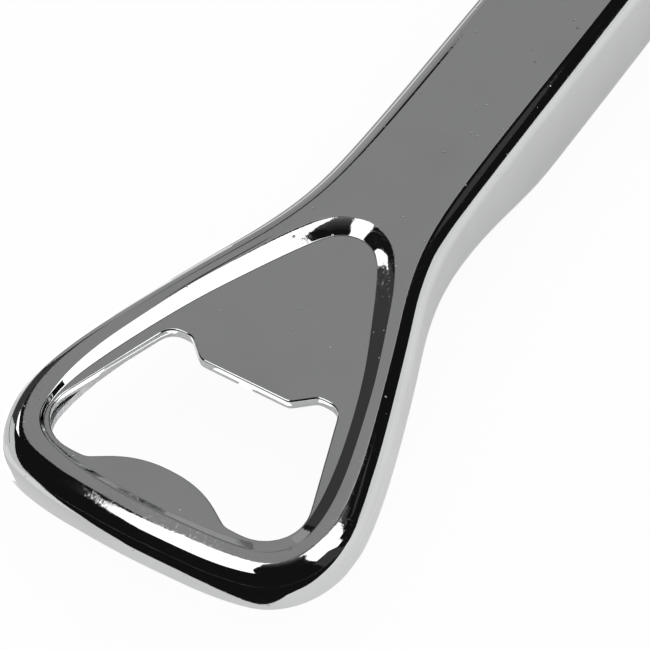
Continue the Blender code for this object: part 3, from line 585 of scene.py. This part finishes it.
class Nodes:
    """Short ways to add nodes to a material and join them."""

    def __init__(self, name):
        self.material = bpy.data.materials.new(name)
        self.material.use_nodes = True
        self.tree = self.material.node_tree
        self.shader = self.tree.nodes["Principled BSDF"]
        self.place = self.tree.nodes.new("ShaderNodeTexCoord").outputs["Object"]

    def feed(self, socket, value):
        if isinstance(value, bpy.types.NodeSocket):
            self.tree.links.new(value, socket)
        else:
            socket.default_value = value

    def math(self, kind, a, b=0.0, c=0.0):
        """The result of a sum on outputs or numbers."""
        node = self.tree.nodes.new("ShaderNodeMath")
        node.operation = kind
        for socket, value in zip(node.inputs, (a, b, c)):
            self.feed(socket, value)
        return node.outputs[0]

    def stretch(self, scale, turn=(0, 0, 0)):
        """Places turned by degrees and then scaled, so that a pattern runs out along its own lines."""
        node = self.tree.nodes.new("ShaderNodeMapping")
        node.vector_type = "TEXTURE"
        self.feed(node.inputs["Vector"], self.place)
        node.inputs["Scale"].default_value = [1 / s for s in scale]
        node.inputs["Rotation"].default_value = [math.radians(a) for a in turn]
        return node.outputs[0]

    def noise(self, scale, detail=3.0, rough=0.55, place=None):
        node = self.tree.nodes.new("ShaderNodeTexNoise")
        self.feed(node.inputs["Vector"], place or self.place)
        node.inputs["Scale"].default_value = scale
        node.inputs["Detail"].default_value = detail
        node.inputs["Roughness"].default_value = rough
        return node.outputs["Fac"]

    def ramp(self, value, low, high, start=0.0, end=1.0):
        """A straight line from start to end while the value goes from low to high, flat beyond."""
        node = self.tree.nodes.new("ShaderNodeMapRange")
        self.feed(node.inputs["Value"], value)
        limits = {"From Min": low, "From Max": high, "To Min": start, "To Max": end}
        for socket, number in limits.items():
            node.inputs[socket].default_value = number
        return node.outputs["Result"]

    def specks(self, scale, size, keep):
        """Small round pits: 1 at their middles, in the share of cells that is kept."""
        node = self.tree.nodes.new("ShaderNodeTexVoronoi")
        self.feed(node.inputs["Vector"], self.place)
        node.inputs["Scale"].default_value = scale
        near = self.ramp(node.outputs["Distance"], size, size * 0.35)
        split = self.tree.nodes.new("ShaderNodeSeparateColor")
        self.feed(split.inputs[0], node.outputs["Color"])
        chosen = self.math("LESS_THAN", split.outputs[0], keep)
        return self.math("MULTIPLY", near, chosen)

    def scratches(self, turn, fine):
        """Thin straight lines, each a few millimetres long and far from the next."""
        lines = self.noise(1.0, 0.0, 0.5, self.stretch((25, fine, fine), turn))
        off = self.math("ABSOLUTE", self.math("SUBTRACT", lines, 0.5))
        thin = self.ramp(off, SCRATCH_WIDTH, 0.0)
        spread = self.noise(1.0, 0.0, 0.5, self.stretch((110, 800, 800), turn))
        return self.math("MULTIPLY", thin, self.ramp(spread, 0.68, 0.74))

    def blend(self, share, first, second):
        node = self.tree.nodes.new("ShaderNodeMix")
        node.data_type = "RGBA"
        self.feed(node.inputs["Factor"], share)
        for socket, colour in zip((node.inputs[6], node.inputs[7]), (first, second)):
            self.feed(socket, (*colour, 1) if isinstance(colour, tuple) else colour)
        return node.outputs[2]

    def bump(self, height, depth, before=None):
        """Adds relief of that depth in metres for a height that runs from 0 to 1."""
        node = self.tree.nodes.new("ShaderNodeBump")
        node.inputs["Strength"].default_value = 1.0
        node.inputs["Distance"].default_value = depth
        self.feed(node.inputs["Height"], height)
        if before is not None:
            self.feed(node.inputs["Normal"], before)
        return node.outputs["Normal"]

    def sink(self, marks, depth, before):
        """Adds relief that lies that deep where the marks are 1."""
        return self.bump(self.math("SUBTRACT", 1.0, marks), depth, before)

    def worn_edges(self, low, high):
        """1 on the edges that stand out."""
        geometry = self.tree.nodes.new("ShaderNodeNewGeometry")
        return self.ramp(geometry.outputs["Pointiness"], low, high)

    def finish(self, colour, roughness, relief, metallic=True):
        """Sets what the surface shows, and returns its material."""
        self.feed(self.shader.inputs["Base Color"], colour)
        self.feed(self.shader.inputs["Roughness"], roughness)
        self.feed(self.shader.inputs["Normal"], relief)
        if metallic:
            self.shader.inputs["Metallic"].default_value = 1.0
        return self.material


def plated(name, colour, dull, roughness=0.03, wave=1.0, pits=0.035, scuffs=0.5, grain=0.10):
    """Polished plating: faint buffing waves, pits, a few scratches, and a thin film of smudges."""
    made = Nodes(name)
    film = made.ramp(made.noise(110, 3.0, 0.5), 0.4, 0.75)
    pit = made.math("MAXIMUM", made.specks(1500, 0.22, pits), made.specks(600, 0.14, pits * 0.4))
    hair = made.math("MAXIMUM", made.scratches((0, 0, 33), 1500), made.scratches((0, 0, -52), 1900))
    patch = made.ramp(made.noise(75, 2.0, 0.5), 0.42, 0.58)
    fine = made.math("MULTIPLY", patch, made.ramp(made.noise(3000, 1.0), 0.56, 0.68))
    rough = made.math("MULTIPLY_ADD", film, 0.03 * scuffs, roughness)
    rough = made.math("MULTIPLY_ADD", fine, grain, rough)
    rough = made.math("MULTIPLY_ADD", hair, 0.10 * scuffs, rough)
    rough = made.math("MULTIPLY_ADD", pit, 0.35, rough)
    tint = made.blend(made.math("MULTIPLY", film, 0.12), colour, dull)
    tint = made.blend(made.math("MULTIPLY", pit, 0.5), tint, dull)
    relief = made.bump(made.noise(420, 1.0, 0.5), 5e-6 * wave)
    relief = made.bump(made.noise(2600, 1.0, 0.6), 1.6e-6 * wave, relief)
    return made.finish(tint, rough, made.sink(pit, PIT_DEPTH, relief))


def bare_metal(name, colour, dark, roughness, grain=(60, 1800, 1800)):
    """Unplated metal: rolled or turned grain, dull patches, pits and brighter worn edges."""
    made = Nodes(name)
    lines = made.noise(1.0, 3.0, 0.6, made.stretch(grain))
    patch = made.ramp(made.noise(130, 4.0, 0.6), 0.35, 0.75)
    pit = made.specks(900, 0.2, 0.12)
    hair = made.scratches((0, 0, 24), 2200)
    shade = made.math("MULTIPLY_ADD", lines, 0.5, made.math("MULTIPLY", patch, 0.45))
    tone = made.blend(shade, colour, dark)
    tone = made.blend(made.math("MULTIPLY", pit, 0.6), tone, dark)
    bright = tuple(min(c * 1.25, 0.9) for c in colour)
    tone = made.blend(made.worn_edges(0.52, 0.6), tone, bright)
    rough = made.math("MULTIPLY_ADD", lines, 0.14, roughness - 0.07)
    rough = made.math("MULTIPLY_ADD", patch, 0.10, rough)
    rough = made.math("MULTIPLY_ADD", hair, -0.08, rough)
    relief = made.bump(lines, GRAIN_DEPTH)
    relief = made.sink(made.math("MAXIMUM", pit, hair), PIT_DEPTH, relief)
    return made.finish(tone, rough, relief)


def cast_zinc(name):
    """Die-cast zinc: a matt, faintly orange-peeled skin with flow marks and pits."""
    made = Nodes(name)
    flow = made.noise(1.0, 4.0, 0.6, made.stretch((180, 420, 260), (0, 0, 20)))
    pit = made.specks(700, 0.22, 0.18)
    tone = made.blend(made.ramp(flow, 0.35, 0.7), (0.46, 0.47, 0.49), (0.33, 0.335, 0.35))
    tone = made.blend(pit, tone, (0.2, 0.2, 0.21))
    relief = made.sink(pit, 4e-5, made.bump(made.noise(1100, 2.0), 1.4e-5))
    return made.finish(tone, made.ramp(flow, 0.3, 0.7, 0.38, 0.56), relief)


def moulded_nylon(name):
    """Black moulded nylon: spark-eroded grain, pressed shiny in patches, with pale rub marks."""
    made = Nodes(name)
    rub = made.ramp(made.noise(240, 3.0), 0.52, 0.7)
    tone = made.blend(made.math("MULTIPLY", rub, 0.5), (0.022, 0.022, 0.025), (0.06, 0.06, 0.062))
    relief = made.bump(made.noise(2600, 2.0, 0.6), 2.2e-5)
    relief = made.sink(made.scratches((0, 0, 70), 2000), 1e-5, relief)
    return made.finish(tone, made.ramp(rub, 0.0, 1.0, 0.52, 0.34), relief, metallic=False)


def dress(item, material):
    item.data.materials.clear()
    item.data.materials.append(material)


# Camera and studio

# What the camera looks at and how far it stands from there, in millimetres, and its lens
CAMERA_TARGET = (-37.7, -3.5, 12.9)
CAMERA_AWAY = (-194.0, -119.9, 273.7)
CAMERA_LENS = 164.8
CAMERA_CLIP = (0.01, 20)
SENSOR_WIDTH = 36

# Strength of each glow, and the faint tint of the two white walls
GLOWS = {
    "black": 0.008, "softbox": 1.7, "light": 0.74, "grey_floor": 0.37, "grey_beside": 0.18,
    "dim_strip": 0.05, "dim_handle": 0.05, "grey": 0.295, "grey_low": 0.165, "light_low": 0.37,
    "grey_edge": 0.46, "grey_side": 0.37, "dark_side": 0.05, "dark_near": 0.05, "paper": 0.86,
    "paper_far": 0.72}
PAPERS = ("paper", "paper_far")
WHITE = (1, 1, 1)
PAPER_TINT = (0.985, 0.995, 1.0)

# The floor's half width in millimetres, its grey, and the share of plain white in it that the
# camera and metal see
FLOOR_REACH = 6000
FLOOR_GREY = 0.9
CAMERA_WHITE = 0.94
METAL_WHITE = 0.1
# The sky that metal sees
SKY_GREY = (0.22, 0.22, 0.225)

# The black room round the studio, in metres
ROOM_RADIUS = 6
ROOM_HEIGHT = 6.5
ROOM_SIDES = 24

# Overhead cards: name, height in metres, corners as run over rise from the head, and glow
CEILING = 3.0
REACH_CEILING = CEILING + 0.05
DIM_CEILING = CEILING + 0.1
LENS_CEILING = CEILING - 0.5
SOFTBOXES = [
    ("softbox_far", CEILING,
     [(0.55, 0.42), (0.0, 0.43), (-0.4, 0.47), (-0.6, 0.42), (-0.6, 0.2), (-0.45, -0.02),
      (-0.2, 0.09), (0.2, 0.20), (0.535, 0.35)], "softbox"),
    ("softbox_near", CEILING,
     [(0.585, 0.335), (0.60, 0.0), (0.62, -0.2), (0.68, -0.5), (0.75, -0.83), (0.18, -1.0),
      (0.19, -0.5), (0.27, -0.2), (0.38, 0.0), (0.5, 0.25)], "softbox"),
    ("softbox_reach", REACH_CEILING,
     [(0.40, -0.85), (0.66, -0.85), (0.86, -1.35), (1.0, -1.7), (0.84, -1.75), (0.62, -1.35)],
     "softbox")]
SMALL_OVERHEAD = [
    ("dim_strip", DIM_CEILING,
     [(0.58, 0.2), (0.64, 0.18), (0.68, -0.2), (0.76, -0.55), (0.7, -0.55)], "dim_strip"),
    ("dim_handle", DIM_CEILING,
     [(0.76, -0.02), (0.82, -0.02), (0.87, -0.3), (0.93, -0.6), (0.86, -0.6), (0.80, -0.35)],
     "dim_handle"),
    ("white_lens", LENS_CEILING,
     [(0.26, 0.80), (0.50, 0.76), (0.56, 0.93), (0.50, 1.0), (0.30, 1.06)], "softbox")]
# The gap between the two softboxes, lighter towards the grey wall: from, to and strength of each
# step along a line, the line's direction, and how far the steps reach to its two sides
ZENITH_STEPS = [
    (0.20, 0.29, 0.018), (0.29, 0.35, 0.028), (0.35, 0.42, 0.042), (0.42, 0.48, 0.057),
    (0.48, 0.54, 0.075), (0.54, 0.60, 0.11), (0.60, 0.66, 0.18)]
ZENITH_WAY = (0.866, 0.5)
ZENITH_SIDES = (-0.14, 0.1)

# Upright cards: name, distance in metres, corners as azimuth and elevation in degrees, and glow
UPRIGHT_CARDS = [
    ("grey_wall", 3.5,
     [(16, 0), (47, 0), (47, 40), (44, 49), (42, 53.5), (37, 56.5), (34, 57), (29.5, 55.3),
      (22.6, 51.8), (16.7, 46.7)], "grey"),
    ("grey_low", 3.45, [(12, 12), (36, 12), (36, 38), (12, 38)], "grey_low"),
    ("light_low", 3.45, [(8, -3), (36, -3), (36, 11), (8, 11)], "light_low"),
    ("grey_edge", 3.4,
     [(29.5, 55.3), (22.6, 51.8), (16.7, 46.7), (18.3, 46.0), (24, 50.8), (30, 54.2)],
     "grey_edge"),
    ("black_gap", 3.3, [(32, 45), (30, 43.5), (38, 37), (44, 40)], "black"),
    ("grey_side", 3.6, [(44, 0), (59, 0), (58, 16), (52, 30), (44, 34)], "grey_side"),
    ("dark_side", 3.55,
     [(59, 0), (78, 0), (78, 32), (68, 42), (58, 46), (46, 46), (47, 40), (53, 30), (59, 20)],
     "dark_side"),
    ("dark_near", 3.9, [(-86, 0), (-66, 0), (-66, 42), (-86, 42)], "dark_near"),
    ("white_wall_near", 4.0,
     [(-60, 0), (-52, 7), (-47, 14), (-36, 23), (-28, 20), (-20, 0)], "paper"),
    ("white_wall_far", 4.0,
     [(75, 0), (75, 36), (93, 36), (100, 34), (125, 20), (146, 0)], "paper_far")]

# A row of low cards beside the head: places in millimetres with the strength from there on, and
# the bands, one over the other, of which the lowest has that strength
BESIDE = [
    (-82, 64, 0.74), (-60, 66, 0.74), (-50, 66, 0.9), (-46, 65.5, 1.1), (-42, 64.5, 1.3),
    (-38, 63.5, 1.5), (-34, 62, 1.7), (-20, 56, 1.3), (-10, 52, 0.9), (0, 48, 0)]
BESIDE_BANDS = [
    ("white_beside", 0.4, 17.5), ("light_beside", 17.5, 23.0), ("grey_beside", 23.0, 26.0)]
BESIDE_GLOWS = {"light_beside": "light", "grey_beside": "grey_beside"}

# Cards that lie on the floor: name, height in metres, corners in millimetres from the head, glow
FLOOR_CARD = 0.0003
BLACK_FLOOR_CARD = 0.0002
FLOOR_CARDS = [
    ("mouth_floor", FLOOR_CARD,
     [(-27, -11), (-17.6, -11), (-17.6, 3.3), (-7, 3.3), (-7, 5.3), (-17.6, 5.3), (-17.6, 9.5),
      (-27, 11)], "softbox"),
    ("left_floor", FLOOR_CARD,
     [(-36, 22), (-34, 40), (-20, 60), (20, 60), (22, 15), (-5, 18), (-28, 23)], "softbox"),
    ("handle_floor", FLOOR_CARD, [(22, 10.5), (22, 60), (110, 60), (110, 10.5)], "grey_floor"),
    ("corner_floor", FLOOR_CARD,
     [(-52.3, 13), (-44.3, 4), (-36, 10), (-36, 22), (-34, 40), (-60, 40)], "light"),
    ("black_floor", BLACK_FLOOR_CARD,
     [(-2452, 1813), (-52.3, 13), (-44.3, 4), (-43, -8), (-37, -28), (-29, -46), (1387, -2680),
      (-4000, -4000)], "black")]


def camera():
    target = Vector(CAMERA_TARGET) * MM
    place = target + Vector(CAMERA_AWAY) * MM
    data = bpy.data.cameras.new("camera")
    data.sensor_width = SENSOR_WIDTH
    data.lens = CAMERA_LENS
    data.clip_start, data.clip_end = CAMERA_CLIP
    item = bpy.data.objects.new("camera", data)
    bpy.context.scene.collection.objects.link(item)
    item.location = place
    item.rotation_mode = "QUATERNION"
    item.rotation_quaternion = (target - place).to_track_quat("-Z", "Y")
    bpy.context.scene.camera = item


def adder(tree):
    """A function that adds a node to a tree, its first inputs fed from the given outputs."""
    def add(kind, *sources):
        node = tree.nodes.new("ShaderNode" + kind)
        for socket, source in zip(node.inputs, sources):
            if source is not None:
                tree.links.new(source, socket)
        return node
    return add


def glow(name, strength, colour=WHITE):
    """An even light-giving material."""
    material = bpy.data.materials.new(name)
    material.use_nodes = True
    material.cycles.emission_sampling = "NONE"
    material.node_tree.nodes.clear()
    add = adder(material.node_tree)
    light = add("Emission")
    light.inputs["Color"].default_value = (*colour, 1)
    light.inputs["Strength"].default_value = strength
    add("OutputMaterial", light.outputs[0])
    return material


def card(name, corners, material):
    """A studio card, in metres from the head's middle, that shows in reflections alone."""
    mesh = bpy.data.meshes.new(name)
    centre = Vector((HEAD_CENTRE * MM, 0, 0))
    mesh.from_pydata([tuple(centre + Vector(c)) for c in corners], [], [tuple(range(len(corners)))])
    item = bpy.data.objects.new(name, mesh)
    bpy.context.scene.collection.objects.link(item)
    item.visible_camera = False
    item.visible_diffuse = False
    item.visible_shadow = False
    dress(item, material)


def overhead(points, height):
    """Corners on a ceiling, given as run over rise."""
    return [(x * height, y * height, height) for x, y in points]


def upright(points, distance):
    """Corners at a distance, given as azimuth and elevation in degrees."""
    corners = []
    for azimuth, elevation in points:
        a, e = math.radians(azimuth), math.radians(elevation)
        corners.append((distance * math.cos(a), distance * math.sin(a), distance * math.tan(e)))
    return corners


def floor_material():
    """Pale matt floor, nearly white to the camera, a little paler to metal, and clear from below."""
    material = bpy.data.materials.new("floor")
    material.use_nodes = True
    material.node_tree.nodes.clear()
    add = adder(material.node_tree)
    matt = add("BsdfDiffuse")
    matt.inputs["Color"].default_value = (FLOOR_GREY, FLOOR_GREY, FLOOR_GREY, 1)
    lamp = add("Emission")
    path = add("LightPath")
    seen = add("Math", path.outputs["Is Camera Ray"], path.outputs["Is Transmission Ray"])
    seen.operation = "MAXIMUM"
    for_camera = add("Math", seen.outputs[0])
    for_camera.operation = "MULTIPLY"
    for_camera.inputs[1].default_value = CAMERA_WHITE
    share = add("Math", path.outputs["Is Glossy Ray"], None, for_camera.outputs[0])
    share.operation = "MULTIPLY_ADD"
    share.inputs[1].default_value = METAL_WHITE
    above = add("MixShader", share.outputs[0], matt.outputs[0], lamp.outputs[0])
    below = add("BsdfTransparent")
    either = add("MixShader", add("NewGeometry").outputs["Backfacing"], above.outputs[0],
                 below.outputs[0])
    add("OutputMaterial", either.outputs[0])
    return material


def floor():
    low, high = -FLOOR_REACH, FLOOR_REACH
    corners = [(low, low, 0), (high, low, 0), (high, high, 0), (low, high, 0)]
    item = new_mesh("floor", corners, [(0, 1, 2, 3)])
    dress(item, floor_material())


def room(black):
    """A black ceiling and walls all round, behind the other cards."""
    angles = np.linspace(0, 2 * math.pi, ROOM_SIDES, endpoint=False)
    ring = [(ROOM_RADIUS * math.cos(a), ROOM_RADIUS * math.sin(a)) for a in angles]
    card("black_ceiling", [(x, y, ROOM_HEIGHT) for x, y in ring], black)
    for i, (x, y) in enumerate(ring):
        u, v = ring[(i + 1) % len(ring)]
        corners = [(x, y, 0.0), (u, v, 0.0), (u, v, ROOM_HEIGHT), (x, y, ROOM_HEIGHT)]
        card("black_wall_%d" % i, corners, black)


def zenith():
    """The steps of the gap between the softboxes."""
    c, s = ZENITH_WAY
    low, high = ZENITH_SIDES
    for i, (near, far, strength) in enumerate(ZENITH_STEPS):
        name = "dim_zenith_%d" % i
        corners = [(r * c - side * s, r * s + side * c)
                   for r, side in ((near, low), (far, low), (far, high), (near, high))]
        card(name, overhead(corners, DIM_CEILING), glow(name, strength))


def beside(paints):
    """The row of low cards beside the head."""
    for i, ((x, y, strength), (u, v, _)) in enumerate(zip(BESIDE, BESIDE[1:])):
        own = glow("beside_%d" % i, strength)
        for name, low, high in BESIDE_BANDS:
            places = [(x, y, low), (u, v, low), (u, v, high), (x, y, high)]
            corners = [((a - HEAD_CENTRE) * MM, b * MM, h * MM) for a, b, h in places]
            paint = paints[BESIDE_GLOWS[name]] if name in BESIDE_GLOWS else own
            card("%s_%d" % (name, i), corners, paint)


def sky():
    """White to the camera and grey to metal."""
    world = bpy.data.worlds.new("studio")
    bpy.context.scene.world = world
    world.use_nodes = True
    add = adder(world.node_tree)
    white_sky = world.node_tree.nodes["Background"]
    white_sky.inputs["Color"].default_value = (*WHITE, 1)
    grey_sky = add("Background")
    grey_sky.inputs["Color"].default_value = (*SKY_GREY, 1)
    choose = add("MixShader", add("LightPath").outputs["Is Glossy Ray"], white_sky.outputs[0],
                 grey_sky.outputs[0])
    surface = world.node_tree.nodes["World Output"].inputs["Surface"]
    world.node_tree.links.new(choose.outputs[0], surface)


def studio():
    floor()
    paints = {name: glow(name, strength, PAPER_TINT if name in PAPERS else WHITE)
              for name, strength in GLOWS.items()}
    room(paints["black"])
    for name, height, points, paint in SOFTBOXES:
        card(name, overhead(points, height), paints[paint])
    zenith()
    for name, height, points, paint in SMALL_OVERHEAD:
        card(name, overhead(points, height), paints[paint])
    for name, distance, points, paint in UPRIGHT_CARDS:
        card(name, upright(points, distance), paints[paint])
    beside(paints)
    for name, height, points, paint in FLOOR_CARDS:
        card(name, [(x * MM, y * MM, height) for x, y in points], paints[paint])
    sky()


# Finishes, pieces and studio put together

CHROME = (0.70, 0.71, 0.705)
DULL = (0.40, 0.405, 0.40)
FINISHES = {
    "shell_chrome": plated("shell_chrome", CHROME, DULL),
    "plate_chrome": plated("plate_chrome", (0.70, 0.715, 0.705), DULL, roughness=0.035, wave=0.8,
                           pits=0.02, scuffs=0.7, grain=0.0),
    "cover_chrome": plated("cover_chrome", (0.66, 0.665, 0.67), DULL, roughness=0.08, wave=1.6,
                           pits=0.08, scuffs=0.9),
    "worm_chrome": plated("worm_chrome", (0.66, 0.66, 0.655), DULL, roughness=0.07, wave=1.3,
                          pits=0.05, scuffs=0.9),
    "ring_steel": bare_metal("ring_steel", (0.52, 0.52, 0.53), (0.30, 0.30, 0.31), 0.30),
    "fastener_steel": bare_metal("fastener_steel", (0.50, 0.50, 0.51), (0.26, 0.26, 0.27), 0.26,
                                 grain=(1500, 1500, 220)),
    "frame_steel": bare_metal("frame_steel", (0.36, 0.36, 0.38), (0.20, 0.20, 0.21), 0.36),
    "spring_steel": bare_metal("spring_steel", (0.42, 0.42, 0.45), (0.22, 0.23, 0.27), 0.24,
                               grain=(2200, 70, 2200)),
    "block_zinc": cast_zinc("block_zinc"),
    "pad_nylon": moulded_nylon("pad_nylon"),
}

for make, node, body, slot in ((shell_skin, "body_shell", "opener_body", "shell_chrome"),
                               (plate_skin, "opener_plate", "opener_body", "plate_chrome"),
                               (worm_skin, "worm", "worm_arm", "worm_chrome")):
    piece = make()
    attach(piece, body)
    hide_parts(node)
    dress(piece, FINISHES[slot])

SLOT_OF = {part["node"]: part["material_slot"] for part in frame["record"]["subparts"]}
for name, item in frame["nodes"].items():
    for holder in item.material_slots:
        holder.material = FINISHES[SLOT_OF[name]]

camera()
studio()
bpy.context.scene.view_settings.view_transform = "Standard"
